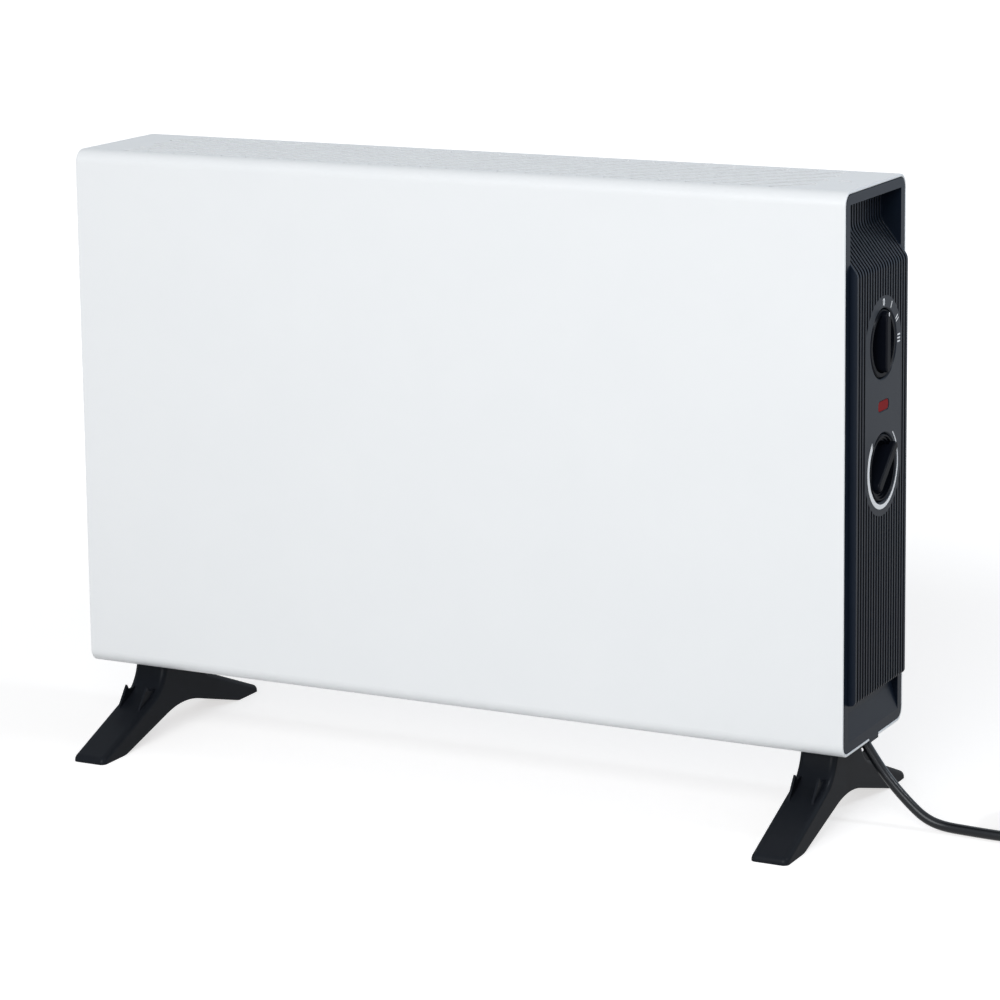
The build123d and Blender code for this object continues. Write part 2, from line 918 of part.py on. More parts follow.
# Baffles on each side of the heating space, and what hangs between them
def baffle():
    """A sheet wall with flanges against the front, the rear panel and the bottom."""
    low = up(sheet_t)
    high = top_z - baffle_top_gap
    front = -half_d + sheet_t
    back = rear_inner
    mid_y = (front + back) / 2
    outline = RectangleRounded(back - front, high - low, baffle_r)
    outer = Pos(mid_y, (low + high) / 2) * outline
    inner = Pos(mid_y, (low + high) / 2) * RectangleRounded(
        back - front - 2 * baffle_t, high - low - 2 * baffle_t, baffle_r - baffle_t
    )
    tray = along_x(outer, baffle_x, baffle_x + baffle_flange)
    tray -= along_x(inner, baffle_x + baffle_t, baffle_x + baffle_flange + past)
    tray -= block(
        baffle_x + baffle_t, baffle_x + baffle_flange + past,
        front - past, back + past, high - baffle_r, high + past,
    )
    return tray


def control_baffle():
    wall = baffle()
    outer = baffle_x + baffle_t + past
    wall -= rod((plate_y, up(card_z)), wire_hole_r, baffle_x - past, outer)
    wall -= rod((cutout_y, up(cutout_z)), cutout_hole_r, baffle_x - past, outer)
    return wall


def plain_baffle():
    return mirrored(baffle())


def element_holders():
    """Insulating blocks on the baffles, slotted for the two cards."""
    blocks = []
    for y in (-card_y, card_y):
        holder = block(
            baffle_x - holder_depth, baffle_x,
            y - holder_w / 2, y + holder_w / 2,
            up(card_z - card_h / 2 - holder_margin), up(card_z + card_h / 2 + holder_margin),
        )
        slot = block(
            baffle_x - holder_depth - past, card_end(),
            y - card_t / 2 - card_fit, y + card_t / 2 + card_fit,
            up(card_z - card_h / 2), up(card_z + card_h / 2),
        )
        blocks += [holder - slot, mirrored(holder - slot)]
    return blocks


def card_end():
    return baffle_x - holder_depth + card_seat


def element_cards():
    cards = []
    for y in (-card_y, card_y):
        cards.append(
            block(
                -card_end(), card_end(), y - card_t / 2, y + card_t / 2,
                up(card_z - card_h / 2), up(card_z + card_h / 2),
            )
        )
    return cards


def element_wires():
    """Flat resistance ribbon wound round each card."""
    loops = []
    half_t = card_t / 2 + wire_t
    low = up(card_z - card_h / 2)
    high = up(card_z + card_h / 2)
    for y in (-card_y, card_y):
        for i in range(wire_count):
            x = (i - (wire_count - 1) / 2) * wire_pitch
            outer = block(
                x - wire_w / 2, x + wire_w / 2, y - half_t, y + half_t, low - wire_t, high + wire_t
            )
            inner = block(
                x - wire_w, x + wire_w, y - card_t / 2, y + card_t / 2, low, high
            )
            loops.append(outer - inner)
    return loops


def heat_shield():
    """A bright inner sheet that keeps the hot air off the front."""
    x0 = baffle_x
    low = up(shield_low)
    high = up(shield_high)
    sheet = block(-x0, x0, -shield_y, -shield_y + shield_t, low, high)
    for side in (-1, 1):
        a = min(side * x0, side * (x0 - shield_t))
        sheet += block(a, a + shield_t, -shield_y, -shield_y + shield_flange, low, high)
    return sheet


def thermal_cutout():
    """The snap disc that cuts the element off if the heater is covered."""
    place = (cutout_y, up(cutout_z))
    body = rod(place, cutout_r, baffle_x - cutout_t, baffle_x)
    body += rod(place, cutout_r + cutout_rim, baffle_x - cutout_rim_t, baffle_x)
    back = baffle_x - cutout_t
    body += [
        block(
            back - cutout_tab_l, back, y - tab_w / 2, y + tab_w / 2,
            place[1] - tab_t / 2, place[1] + tab_t / 2,
        )
        for y in (place[0] - cutout_tab_y, place[0] + cutout_tab_y)
    ]
    return body


# Mains entry
def cord_gland():
    """A tapered sleeve through the boss, held by its inner flange."""
    neck_end = gland_taper + gland_neck
    flange_end = neck_end + gland_flange
    tail_end = flange_end + gland_tail
    taper_plane = entry_plane(gland_taper) * Circle(gland_neck_r)
    tip = entry_plane(0) * Circle(gland_tip_r)
    body = loft([taper_plane.face(), tip.face()])
    body += entry_bar(gland_neck_r, gland_taper, neck_end)
    body += entry_bar(gland_flange_r, neck_end, flange_end)
    body += entry_bar(gland_neck_r - gland_tail_step, flange_end, tail_end)
    return body


def gland_length():
    return gland_taper + gland_neck + gland_flange + gland_tail


def inner_route():
    start = cord_exit - entry_dir * gland_length()
    bend = start - entry_dir * tail_rise
    return [
        start,
        bend,
        Vector(tail_x, cord_y, up(tail_bend_z)),
        Vector(tail_x, cord_y, up(terminal_z)),
    ]


def terminal_block():
    front = baffle_x + baffle_t
    body = block(
        front, front + terminal_d,
        cord_y - terminal_w / 2, cord_y + terminal_w / 2,
        up(terminal_z), up(terminal_z + terminal_h),
    )
    for i in (-1, 0, 1):
        place = (cord_y + i * terminal_w / 3, up(terminal_z + terminal_h / 2))
        outer = front + terminal_d
        body -= rod(place, terminal_bore_r, outer - terminal_bore, outer + past)
    return body


def cord_clamp():
    front = baffle_x + baffle_t
    outer = tail_x + cord_d / 2 + clamp_t
    body = block(
        front, outer, cord_y - clamp_w / 2, cord_y + clamp_w / 2, up(clamp_z), up(clamp_z + clamp_h)
    )
    outer_edges = body.edges().filter_by(Axis.Z).filter_by(lambda e: e.center().X > tail_x)
    body = fillet(outer_edges, clamp_r)
    radius = cord_d / 2 + clamp_fit
    return body - rod_z(tail_x, cord_y, radius, up(clamp_z) - past, up(clamp_z + clamp_h) + past)


# Feet
def ridge_height(y):
    """Height of a leg's sloped top, from the casing's underside."""
    return -ridge_drop - ridge_fall * (y - ridge_y)


def neck_radius():
    """The arc that turns the column into the leg fills the column's height."""
    turn = pi / 2 - atan2(ridge_fall, 1)
    return (-ridge_height(column_half) - neck_top) / tan(turn / 2)


def foot_outline():
    """Side view of a foot: a column, two sloped legs, two soles and an arch."""
    half = [
        (column_half, 0, None),
        (column_half, ridge_height(column_half), neck_radius()),
        (foot_reach, ridge_height(foot_reach), toe_r),
        (foot_reach, -floor_gap, None),
        (sole_inner, -floor_gap, sole_r),
    ]
    arch = (0, arch_h - floor_gap, arch_r)
    rounds = half + [arch] + [(-y, z, r) for y, z, r in reversed(half)]
    face = make_face(Polyline([(y, up(z)) for y, z, _ in rounds], close=True))
    for y, z, radius in rounds:
        if radius:
            corner = face.vertices().sort_by_distance((y, up(z)))[0]
            face = fillet(corner, radius)
    return face


def on_ridge(edge):
    """Whether an edge of the extruded foot lies on the outside of a column, leg or toe."""
    place = edge.center()
    beside = abs(abs(place.X - foot_mid_x) - foot_w / 2) < 0.01
    outside = abs(place.Y) > column_half - 0.01
    return beside and outside and place.Z > up(ridge_height(abs(place.Y))) - toe_h - 0.01


def gusset():
    """Outline of a thin fin in the crook of a column and its leg."""
    points = [
        (gusset_inner, -gusset_notch_drop),
        (gusset_notch_y, -gusset_notch_drop),
        (gusset_peak_y, -gusset_peak_drop),
        (gusset_foot_y, ridge_height(gusset_foot_y)),
        (gusset_foot_y - gusset_root, ridge_height(gusset_foot_y) - gusset_root),
        (gusset_inner, ridge_height(gusset_inner) - gusset_root),
    ]
    return make_face(Polyline([(y, up(z)) for y, z in points], close=True))


def foot():
    """The +X foot with its rounded ridges, gussets and screw counterbores."""
    body = along_x(foot_outline(), foot_outer_x - foot_w, foot_outer_x)
    body = fillet(body.edges().filter_by(on_ridge), foot_edge_r)
    for offset_x in (-gusset_offset, gusset_offset):
        x = foot_mid_x + offset_x
        fin = along_x(gusset(), x - gusset_t / 2, x + gusset_t / 2)
        body += [fin, mirror(fin, about=Plane.XZ)]
    for y in (-foot_screw_y, foot_screw_y):
        body -= rod_z(foot_mid_x, y, foot_screw_r + screw_fit, 0, floor_gap + past)
        body -= rod_z(foot_mid_x, y, foot_bore_r, 0, up(-foot_flange))
    return body


def foot_screws():
    """Screws from under each foot, up through the casing into the clip nuts."""
    screws = []
    for side in (-1, 1):
        for y in (-foot_screw_y, foot_screw_y):
            x = side * foot_mid_x
            shank = rod_z(x, y, foot_screw_r, up(-foot_flange), up(sheet_t + clip_t + foot_screw_end))
            head = rod_z(x, y, foot_head_r, up(-foot_flange) - foot_head_t, up(-foot_flange))
            screws.append(shank + head)
    return screws


def foot_nuts():
    nuts = []
    for side in (-1, 1):
        for y in (-foot_screw_y, foot_screw_y):
            x = side * foot_mid_x
            nut = block(
                x - clip_w / 2, x + clip_w / 2, y - clip_d / 2, y + clip_d / 2,
                up(sheet_t), up(sheet_t + clip_t),
            )
            radius = foot_screw_r + screw_fit / 2
            nuts.append(nut - rod_z(x, y, radius, floor_gap, up(sheet_t + clip_t + past)))
    return nuts


# Screws through the casing
def screw_y(x, z, y_face):
    shank = rod_y(x, z, panel_screw_r, y_face - panel_screw_len, y_face)
    return shank + rod_y(x, z, panel_head_r, y_face, y_face + panel_head_t)


def rear_panel_screws():
    panel, _ = casing_screw_places()
    return [screw_y(x, z, half_d) for x, z in panel]


def end_cap_screws():
    _, caps = casing_screw_places()
    return [screw_y(x, z, half_d) for x, z in caps]


# Cord, coil, tie and plug
def tube(name, points, radius):
    """A cord tube of straight runs joined by the widest arcs that the runs allow."""
    path_points = [Vector(*point) for point in points]
    radii = []
    for before, here, after in zip(path_points, path_points[1:], path_points[2:]):
        shorter = min((here - before).length, (after - here).length)
        turn = radians((here - before).get_angle(after - here))
        radii.append(cord_arc_share * shorter / tan(turn / 2))
    print(name, "radii", [round(r, 1) for r in radii])
    path = FilletPolyline(*path_points, radius=radii)
    section = Plane(origin=path @ 0, z_dir=path % 0) * Circle(radius)
    solid = sweep(section, path=path)
    print(name, "length", round(path.length, 1))
    print(name, "volume against section times length",
          round(solid.volume / (pi * radius**2 * path.length), 5))
    return solid


def coil_section(grow):
    """Section of the wound turns: three high outside, two high inside."""
    inner = coil_r - cord_d - grow
    outer = coil_r + cord_d + grow
    low = coil_lift - grow
    high = coil_lift + 3 * cord_d + grow
    step = coil_lift + 2 * cord_d + grow
    points = [
        (inner, low), (outer, low), (outer, high), (coil_r - grow, high), (inner, step)
    ]
    face = make_face(Polyline(points, close=True))
    return fillet(face.vertices(), coil_edge_r + grow)


def cord_coil():
    return Pos(coil_x, coil_y, 0) * revolve(Plane.XZ * coil_section(0), Axis.Z)


def cord_tie():
    """A strap round the turns."""
    strap = coil_section(tie_gap + tie_t) - coil_section(tie_gap)
    band = revolve(Plane.XZ * strap, Axis.Z, tie_turn)
    return Pos(coil_x, coil_y, 0) * (Rot(0, 0, tie_angle) * band)


def plug_plane():
    """A plane at the plug's cord entry, looking the way that the pins point."""
    start = Vector(*plug_route[-1])
    heading = start - Vector(*plug_route[-2])
    level = Vector(heading.X, heading.Y, 0).normalized()
    return Plane(origin=start, x_dir=Vector(0, 0, 1), z_dir=level)


def plug_turned(points):
    """Revolve (radius, distance) points about the plug's own axis."""
    face = make_face(Polyline([(r, d) for r, d in points], close=True))
    return plug_plane().location * revolve(Plane.XZ * face, Axis.Z)


def plug_length():
    return plug_relief_l + plug_grip_l + plug_disc_t


def plug_body():
    relief_end = plug_relief_l
    grip_end = relief_end + plug_grip_l
    disc_end = plug_length()
    body = plug_turned([
        (0, 0),
        (cord_d / 2 + plug_relief_wall, 0),
        (plug_relief_r, relief_end),
        (plug_grip_r, relief_end),
        (plug_grip_r + plug_flare, relief_end + plug_flare_l),
        (plug_grip_r - plug_waist, grip_end - plug_waist_l),
        (plug_disc_r, grip_end),
        (plug_disc_r, disc_end),
        (0, disc_end),
    ])
    groove_y = plug_disc_r - plug_groove_h / 2 + past
    for side in (-1, 1):
        groove = Pos(0, side * groove_y, disc_end - plug_disc_t / 2 + plug_groove_sink) * Box(
            plug_groove_w, plug_groove_h, plug_disc_t
        )
        body -= plug_plane().location * groove
    for side in (-1, 1):
        hole = Pos(0, side * pin_spacing / 2, disc_end - pin_root) * Cylinder(
            pin_r, pin_root + past, align=(Align.CENTER, Align.CENTER, Align.MIN)
        )
        body -= plug_plane().location * hole
    return body


def plug_pins():
    pins = []
    for side in (-1, 1):
        pin = Pos(0, side * pin_spacing / 2, plug_length() - pin_root) * Cylinder(
            pin_r, pin_l + pin_root, align=(Align.CENTER, Align.CENTER, Align.MIN)
        )
        tip = pin.edges().sort_by(Axis.Z)[-1]
        pins.append(plug_plane().location * fillet(tip, pin_tip_r))
    return pins


os.makedirs("parts", exist_ok=True)
export(front_casing(), "front_casing")
export(rear_panel(), "rear_panel")
export(control_end_cap(), "control_end_cap")
export(plain_end_cap(), "plain_end_cap")
export(selector_knob(), "selector_knob")
export(thermostat_knob(), "thermostat_knob")
export(control_shaft(selector_z), "selector_shaft")
export(control_shaft(thermostat_z), "thermostat_shaft")
export(selector_switch(), "selector_switch")
export(thermostat_body(), "thermostat_body")
export(bush_nuts(), "bush_nuts")
export(control_bracket(), "control_bracket")
export(bracket_screws(), "bracket_screws")
export(indicator_lens(), "indicator_lens")
export(indicator_lamp(), "indicator_lamp")
export(control_baffle(), "control_baffle")
export(plain_baffle(), "plain_baffle")
export(element_holders(), "element_holders")
export(element_cards(), "element_cards")
export(element_wires(), "element_wires")
export(heat_shield(), "heat_shield")
export(thermal_cutout(), "thermal_cutout")
export(terminal_block(), "terminal_block")
export(cord_clamp(), "cord_clamp")
export(tube("inner_cord", inner_route(), cord_d / 2), "inner_cord")
export(cord_gland(), "cord_gland")
export(foot(), "right_foot")
export(mirrored(foot()), "left_foot")
export(foot_screws(), "foot_screws")
export(foot_nuts(), "foot_nuts")
export(rear_panel_screws(), "rear_panel_screws")
export(end_cap_screws(), "end_cap_screws")
export(tube("power_cord", cord_route, cord_d / 2), "power_cord")
export(cord_coil(), "cord_coil")
export(cord_tie(), "cord_tie")
export(tube("plug_lead", plug_route, cord_d / 2), "plug_lead")
export(plug_body(), "plug_body")
export(plug_pins(), "plug_pins")
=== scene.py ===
# %% [markdown]
# A portable convector heater, dressed in Blender.
#
# The heater stands on a shared frame: every piece of it is already there at its real size, in metres,
# with the floor at height zero, the controls at the +X end and the back towards +Y. This lesson gives
# the pieces their paint, plastic and metal, models what is too fine for the frame, and lays the cord.

# %% Load the frame
import json
import math

import bmesh
import bpy
from mathutils import Matrix, Vector


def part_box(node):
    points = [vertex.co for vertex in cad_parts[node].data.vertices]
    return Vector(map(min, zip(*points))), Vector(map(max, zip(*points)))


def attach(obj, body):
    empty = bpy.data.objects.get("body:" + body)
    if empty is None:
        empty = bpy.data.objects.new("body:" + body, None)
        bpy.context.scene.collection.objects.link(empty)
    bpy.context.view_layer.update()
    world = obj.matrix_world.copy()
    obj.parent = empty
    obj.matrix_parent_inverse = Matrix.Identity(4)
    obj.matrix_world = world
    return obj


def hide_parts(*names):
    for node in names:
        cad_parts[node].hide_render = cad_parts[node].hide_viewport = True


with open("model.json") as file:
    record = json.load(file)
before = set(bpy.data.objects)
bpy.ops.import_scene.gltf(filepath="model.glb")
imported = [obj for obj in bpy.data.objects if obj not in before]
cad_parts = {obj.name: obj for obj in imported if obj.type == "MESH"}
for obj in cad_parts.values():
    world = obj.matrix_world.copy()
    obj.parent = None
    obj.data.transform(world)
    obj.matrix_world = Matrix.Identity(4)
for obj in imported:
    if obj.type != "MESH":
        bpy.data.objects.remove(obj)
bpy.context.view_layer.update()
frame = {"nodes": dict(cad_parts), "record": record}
nodes = frame["nodes"]
MM = 0.001
scene = bpy.context.scene

# %% [markdown]
# The camera comes first, because everything is judged from it. A long lens far away keeps the edges
# nearly parallel. The shift slides the picture on the film, which is how a studio camera keeps upright
# edges upright while the heater sits low in the frame.

# %% Camera
CAMERA_LENS = 129.53
CAMERA_PLACE = (1.1594, -2.2258, 0.7698)
CAMERA_YAW = 27.208
CAMERA_PITCH = 9.938
CAMERA_ROLL = -0.682
CAMERA_SHIFT_UP = -0.18
CAMERA_REACH = 50.0


def add_camera():
    """A camera at the photograph's viewing angle."""
    lens = bpy.data.cameras.new("studio_camera")
    lens.lens = CAMERA_LENS
    lens.shift_y = CAMERA_SHIFT_UP
    lens.clip_end = CAMERA_REACH
    camera = bpy.data.objects.new("studio_camera", lens)
    turn = Matrix.Rotation(math.radians(CAMERA_YAW), 4, "Z")
    turn = turn @ Matrix.Rotation(math.radians(90 - CAMERA_PITCH), 4, "X")
    turn = turn @ Matrix.Rotation(math.radians(CAMERA_ROLL), 4, "Z")
    camera.matrix_world = Matrix.Translation(CAMERA_PLACE) @ turn
    scene.collection.objects.link(camera)
    scene.camera = camera
    return camera


camera = add_camera()
print("camera", [round(value, 3) for value in camera.location], "lens", camera.data.lens)

# %% [markdown]
# A material is a small network of nodes. Writing its maths as Python expressions keeps it readable, so
# one small class wraps an output and lets + - * add the Math nodes. Numbers may stand on either side,
# so that 1 - mask works too.


# %% Shader maths
class Value:
    """One output of a node, with arithmetic that adds Math nodes."""

    def __init__(self, network, socket):
        self.network = network
        self.socket = socket

    def maths(self, operation, *others):
        return self.network.maths(operation, self, *others)

    def __add__(self, other):
        return self.maths("ADD", other)

    def __sub__(self, other):
        return self.maths("SUBTRACT", other)

    def __mul__(self, other):
        return self.maths("MULTIPLY", other)

    def __rsub__(self, other):
        return self.network.maths("SUBTRACT", other, self)

    __radd__ = __add__
    __rmul__ = __mul__

    def cosine(self):
        return self.maths("COSINE")

    def root(self):
        return self.maths("SQRT")

    def size(self):
        return self.maths("ABSOLUTE")

    def above_zero(self):
        return self.maths("MAXIMUM", 0.0)

    def clipped(self, low, high):
        """0 at low, 1 at high and smooth between them, also where low is the larger one."""
        settings = {"interpolation_type": "SMOOTHSTEP"}
        sockets = {"Value": self, "From Min": low, "From Max": high}
        return self.network.node("ShaderNodeMapRange", settings, sockets, "Result")


print("shader maths ready")

# %% [markdown]
# A second class holds the network itself. One method adds any node from its type, its settings and what
# goes into its sockets, which is a number, a colour or another node's output. The world behind the
# heater is such a network too, so the class serves materials and the world alike. A Mix node has a set
# of sockets for each kind of data, all with the same names, so its colours are found by number.

# %% Shader networks
MIX_FACTOR, MIX_FIRST, MIX_SECOND = 0, 6, 7
MIX_COLOUR_OUT = 2
SEEN_RAYS = ("Is Camera Ray", "Is Glossy Ray", "Is Transmission Ray")


def opaque(colour):
    """A plain colour with full alpha, and anything else as it is."""
    return (*colour, 1) if isinstance(colour, tuple) else colour


class Network:
    """The nodes of a material or a world, added one by one."""

    def __init__(self, owner, output):
        owner.use_nodes = True
        self.tree = owner.node_tree
        self.tree.nodes.clear()
        self.output = self.tree.nodes.new(output)

    def node(self, kind, settings=None, sockets=None, out=0):
        """Adds a node: its settings first, then what goes into its sockets; returns one output."""
        node = self.tree.nodes.new(kind)
        for name, setting in (settings or {}).items():
            setattr(node, name, setting)
        for name, value in (sockets or {}).items():
            if isinstance(value, Value):
                self.tree.links.new(value.socket, node.inputs[name])
            else:
                node.inputs[name].default_value = value
        return Value(self, node.outputs[out])

    def maths(self, operation, *numbers):
        return self.node("ShaderNodeMath", {"operation": operation}, dict(enumerate(numbers)))

    def mix(self, factor, first, second):
        """Blends two colours."""
        sockets = {MIX_FACTOR: factor, MIX_FIRST: opaque(first), MIX_SECOND: opaque(second)}
        return self.node("ShaderNodeMix", {"data_type": "RGBA"}, sockets, MIX_COLOUR_OUT)

    def ray(self, name):
        """1 for rays of this kind and 0 for all others."""
        return self.node("ShaderNodeLightPath", out=name)

    def seen(self):
        """1 for what the camera sees, also mirrored or through glass, and 0 for other light."""
        return sum(self.ray(name) for name in SEEN_RAYS)

    def join(self, shader):
        self.tree.links.new(shader.socket, self.output.inputs["Surface"])


print("shader networks ready")

# %% [markdown]
# A finish is a network that ends in a Principled shader. Its patterns are laid out by where a point is
# on the heater, in the piece's own coordinates, so they stay on the piece when it moves. Grain and
# orange peel are far too fine to model, and a bump from a noise gives them at no cost.

# %% Finishes
HANDLED_SIZE = 35 * MM


class Finish(Network):
    """A material with the patterns that this heater's finishes share."""

    def __init__(self, name):
        self.material = bpy.data.materials.new(name)
        super().__init__(self.material, "ShaderNodeOutputMaterial")

    def place(self):
        """Where a point of the surface is on the heater, in metres."""
        return self.node("ShaderNodeTexCoord", out="Object")

    def along(self, axis):
        """One coordinate of that place, in millimetres."""
        parts = self.node("ShaderNodeSeparateXYZ", None, {"Vector": self.place()}, axis)
        return parts * (1 / MM)

    def noise(self, size, detail, roughness=0.5):
        """Soft random lumps of about `size` metres."""
        sockets = {
            "Vector": self.place(),
            "Scale": 1 / size,
            "Detail": detail,
            "Roughness": roughness,
        }
        return self.node("ShaderNodeTexNoise", None, sockets, "Fac")

    def grain(self, size):
        """The fine, sharp grain that a spark-eroded tool leaves on plastic."""
        return self.noise(size, detail=3.0, roughness=0.6)

    def handled(self):
        """Large soft patches, where hands and cloths have made a surface a little uneven."""
        return self.noise(HANDLED_SIZE, detail=4.0)

    def bump(self, height, depth, strength=1.0):
        """Raises the surface by `height` times `depth` metres."""
        sockets = {"Height": height, "Distance": depth, "Strength": strength}
        return self.node("ShaderNodeBump", None, sockets, "Normal")

    def surface(self, **sockets):
        """Ends in a Principled shader with these sockets; underscores stand for spaces."""
        named = {name.replace("_", " "): opaque(value) for name, value in sockets.items()}
        self.join(self.node("ShaderNodeBsdfPrincipled", None, named, "BSDF"))
        return self.material


finishes = {}
print("finishes are ready to be mixed")

# %% [markdown]
# The white parts of the heater are steel sheet with a baked powder coat. Such a coat is satin, not
# glossy, and it has a very fine orange peel. The noise is far smaller than anything else on the casing,
# so it only softens the highlights. A second, larger noise makes the gloss a little uneven.

# %% White powder coat
PEEL_SIZE = 0.9 * MM
PEEL_DEPTH = 0.012 * MM
PATCH_SIZE = 60 * MM
ENAMEL_DARK = (0.835, 0.845, 0.855)
ENAMEL_LIGHT = (0.862, 0.869, 0.876)


def powder_coat():
    """Satin white enamel on the casing and the rear panel."""
    finish = Finish("white_powder_coat")
    peel = finish.noise(PEEL_SIZE, detail=2.0)
    patches = finish.noise(PATCH_SIZE, detail=3.0)
    return finish.surface(
        Base_Color=finish.mix(patches, ENAMEL_DARK, ENAMEL_LIGHT),
        Roughness=patches * 0.06 + 0.36,
        Coat_Weight=0.25,
        Coat_Roughness=0.22,
        Normal=finish.bump(peel, PEEL_DEPTH, 0.6),
    )


finishes["white_enamel"] = powder_coat()
print("the casing's", finishes["white_enamel"].name)

# %% [markdown]
# The end caps are black plastic with upright ribs. Their crests are rubbed smooth and catch the light,
# while the grooves between them are painted near black, a painted shade for the deep grooves. The ribs
# repeat evenly, so a cosine across the heater tells crest from groove, and masks keep it inside the
# ribbed field and off the control plate.
# The plate has straight sides and round ends, so the mask measures how far a point is from its middle
# line. The ribs' and the plate's sizes are in millimetres, as the masks measure them.

# %% Ribbed black plastic
COOL = (0.86, 0.93, 1.0)
RIB_PITCH = 4.7
RIB_GROOVE = (-0.1, 0.35)
RIBS_HALF_WIDTH = 45.6
RIBS_LOW = 97.0
RIBS_HIGH = 434.0
RIBS_EDGE = 0.2
PLATE_MIDDLE = 1.5
PLATE_LOW = 249.5
PLATE_HIGH = 335.1
PLATE_RADIUS = 32.5
PLATE_EDGE = 0.1
CAP_DARK = (0.0046, 0.0082, 0.0158)
CAP_LIGHT = (0.0066, 0.0112, 0.0205)
# The painted shade in the rib grooves: a near-black colour that stands in for the shade there.
GROOVE_PAINTED_SHADE = (0.0015, 0.0018, 0.0024)
CAP_GRAIN_SIZE = 0.35 * MM
CAP_GRAIN_DEPTH = 0.012 * MM


def off_plate(y, z):
    """0 on the control plate and 1 beside it."""
    beyond = (z - PLATE_HIGH).above_zero() + (PLATE_LOW - z).above_zero()
    across = y - PLATE_MIDDLE
    apart = (across * across + beyond * beyond).root()
    return apart.clipped(PLATE_RADIUS - PLATE_EDGE, PLATE_RADIUS + PLATE_EDGE)


def ribbed_moulding(name, with_plate):
    """The caps' plastic: polished on the crests of the ribs, dull between them, and darkened in the
    grooves as painted shade.
    """
    finish = Finish(name)
    y, z = finish.along("Y"), finish.along("Z")
    groove = (y * (2 * math.pi / RIB_PITCH)).cosine().clipped(*RIB_GROOVE)
    groove = groove * y.size().clipped(RIBS_HALF_WIDTH + RIBS_EDGE, RIBS_HALF_WIDTH)
    groove = groove * z.clipped(RIBS_LOW - RIBS_EDGE, RIBS_LOW)
    groove = groove * z.clipped(RIBS_HIGH + RIBS_EDGE, RIBS_HIGH)
    if with_plate:
        groove = groove * off_plate(y, z)
    crest = 1.0 - groove
    grain = finish.grain(CAP_GRAIN_SIZE)
    handled = finish.handled()
    black = finish.mix(handled, CAP_DARK, CAP_LIGHT)
    return finish.surface(
        # Painted shade: the grooves are coloured near black.
        Base_Color=finish.mix(groove, black, GROOVE_PAINTED_SHADE),
        Roughness=handled * 0.1 + grain * 0.1 + 0.42,
        Specular_IOR_Level=0.02,
        Specular_Tint=COOL,
        Coat_Weight=crest * 0.22,
        Coat_Roughness=0.3,
        Normal=finish.bump(grain, CAP_GRAIN_DEPTH),
    )


finishes["black_moulding"] = ribbed_moulding("black_ribbed_plastic", False)
control_cap_finish = ribbed_moulding("black_control_cap_plastic", True)
print("ribs every", RIB_PITCH, "mm on", RIBS_HIGH - RIBS_LOW, "mm of each cap")

# %% [markdown]
# Everything else that is moulded differs only in colour, in the size and depth of its grain and in its
# gloss: knobs, feet, lens, cord and plug outside, and ceramic, nylon and mica board inside. One
# function with a table of looks makes them all. Shine is the plastic's own reflection. Polish is a thin
# coat over it, which keeps black plastic deep black and still gives it a highlight.

# %% Moulded plastics and ceramics
MOULDINGS = {
    "knob_plastic": {
        "dark": (0.0042, 0.0052, 0.0088),
        "light": (0.0055, 0.0068, 0.011),
        "grain_size": 0.3 * MM,
        "grain_depth": 0.004 * MM,
        "rough": 0.24,
        "shine": 0.0,
        "polish": 0.14,
    },
    "foot_plastic": {
        "dark": (0.0078, 0.0093, 0.0125),
        "light": (0.0102, 0.012, 0.0158),
        "grain_size": 0.4 * MM,
        "grain_depth": 0.008 * MM,
        "rough": 0.3,
        "shine": 0.0,
        "polish": 0.17,
    },
    "mica_board": {
        "dark": (0.5, 0.44, 0.32),
        "light": (0.62, 0.56, 0.42),
        "grain_size": 0.8 * MM,
        "grain_depth": 0.03 * MM,
        "rough": 0.5,
    },
    "cream_ceramic": {
        "dark": (0.75, 0.71, 0.62),
        "light": (0.84, 0.8, 0.72),
        "grain_size": 0.5 * MM,
        "grain_depth": 0.01 * MM,
        "rough": 0.3,
    },
    "white_nylon": {
        "dark": (0.72, 0.72, 0.7),
        "light": (0.8, 0.8, 0.78),
        "grain_size": 0.5 * MM,
        "grain_depth": 0.01 * MM,
        "rough": 0.4,
    },
    "cord_sheath": {
        "dark": (0.0055, 0.006, 0.0075),
        "light": (0.008, 0.0088, 0.0105),
        "grain_size": 1.2 * MM,
        "grain_depth": 0.01 * MM,
        "rough": 0.2,
        "shine": 0.1,
        "polish": 0.4,
    },
    "plug_plastic": {
        "dark": (0.016, 0.0175, 0.02),
        "light": (0.024, 0.026, 0.029),
        "grain_size": 0.4 * MM,
        "grain_depth": 0.02 * MM,
        "rough": 0.4,
    },
    "red_lens": {
        "dark": (0.27, 0.002, 0.004),
        "light": (0.33, 0.003, 0.006),
        "grain_size": 0.5 * MM,
        "grain_depth": 0.004 * MM,
        "rough": 0.08,
        "shine": 0.0,
        "polish": 0.1,
    },
    "lamp_glass": {
        "dark": (0.8, 0.7, 0.6),
        "light": (0.9, 0.8, 0.7),
        "grain_size": 0.5 * MM,
        "grain_depth": 0.004 * MM,
        "rough": 0.1,
    },
}


def moulding(name, dark, light, grain_size, grain_depth, rough, shine=0.45, polish=0.0):
    """A moulded or fired material with fine grain and slightly uneven colour and gloss."""
    finish = Finish(name)
    grain = finish.grain(grain_size)
    handled = finish.handled()
    return finish.surface(
        Base_Color=finish.mix(handled, dark, light),
        Roughness=handled * 0.12 + grain * 0.1 + rough,
        Specular_IOR_Level=shine,
        Specular_Tint=COOL,
        Coat_Weight=polish,
        Coat_Roughness=rough,
        Normal=finish.bump(grain, grain_depth),
    )


for name, look in MOULDINGS.items():
    finishes[name] = moulding(name, **look)
print(len(MOULDINGS), "moulded finishes")

# %% [markdown]
# The metal parts are plain or plated sheet, wire and turned pins. Rolling and drawing leave faint
# streaks, so a noise is stretched along the upright direction for the gloss, and a larger one tints
# the plating, as the spangle of galvanised steel does. Each row has the two tints and the gloss.

